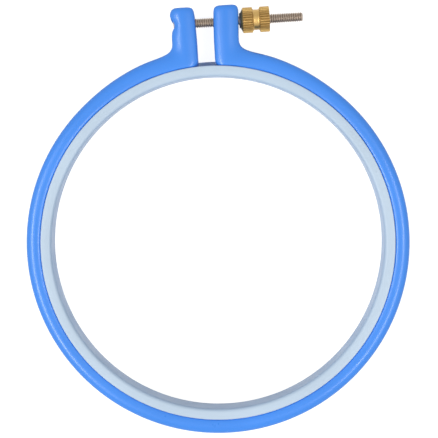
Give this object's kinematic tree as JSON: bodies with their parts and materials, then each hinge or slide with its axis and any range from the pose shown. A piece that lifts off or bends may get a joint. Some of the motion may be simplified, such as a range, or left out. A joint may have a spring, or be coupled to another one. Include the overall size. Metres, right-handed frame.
{
  "type": "embroidery hoop",
  "caption": "Round plastic screw-clamp embroidery hoop: a split outer ring with lugs, an inner ring with a back flange, a clamp screw and a knurled brass nut.",
  "frame": {"origin": "under the middle of the whole hoop, lugs included, on the inner ring's back face, with the hoop lying flat and its front up", "axes": "+Z from the back of the hoop to its front, +Y from the ring's centre to the lugs, +X along the clamp screw from its head to its tip"},
  "size_m": [0.1376, 0.1534, 0.0112],
  "materials": {
    "pale_plastic": "satin pale grey-blue moulded plastic",
    "blue_plastic": "semi-gloss mid-blue moulded plastic",
    "screw_steel": "dull browned steel with bright thread crests",
    "nut_brass": "bare turned brass, straight knurl"
  },
  "bodies": {
    "inner_hoop": {"inner_ring": "pale_plastic"},
    "outer_left": {"outer_ring_left": "blue_plastic"},
    "outer_right": {"outer_ring_right": "blue_plastic"},
    "screw": {"clamp_screw": "screw_steel"},
    "nut": {"knurled_nut": "nut_brass"}
  },
  "joints": [
    {"name": "outer_lift", "type": "slide", "parent": "inner_hoop", "child": "outer_left", "axis": [0, 0, 1], "range_m": [0, 0.015]},
    {"name": "ring_flex", "type": "hinge", "parent": "outer_left", "child": "outer_right", "pos_m": [0, -0.07412, 0.00665], "axis": [0, 0, -1], "range_deg": [0, 1.58]},
    {"name": "screw_swing", "type": "hinge", "parent": "outer_left", "child": "screw", "pos_m": [-0.00996, 0.0712, 0.00665], "axis": [0, 0, -1], "range_deg": [0, 1]},
    {"name": "nut_spin", "type": "hinge", "parent": "outer_right", "child": "nut", "pos_m": [0.01781, 0.0712, 0.00665], "axis": [1, 0, 0], "range_deg": [0, 1800]}
  ],
  "couplings": [
    {"joint": "ring_flex", "follows": "nut_spin", "ratio": 0.00086956},
    {"joint": "screw_swing", "follows": "nut_spin", "ratio": 0.00054608}
  ]
}
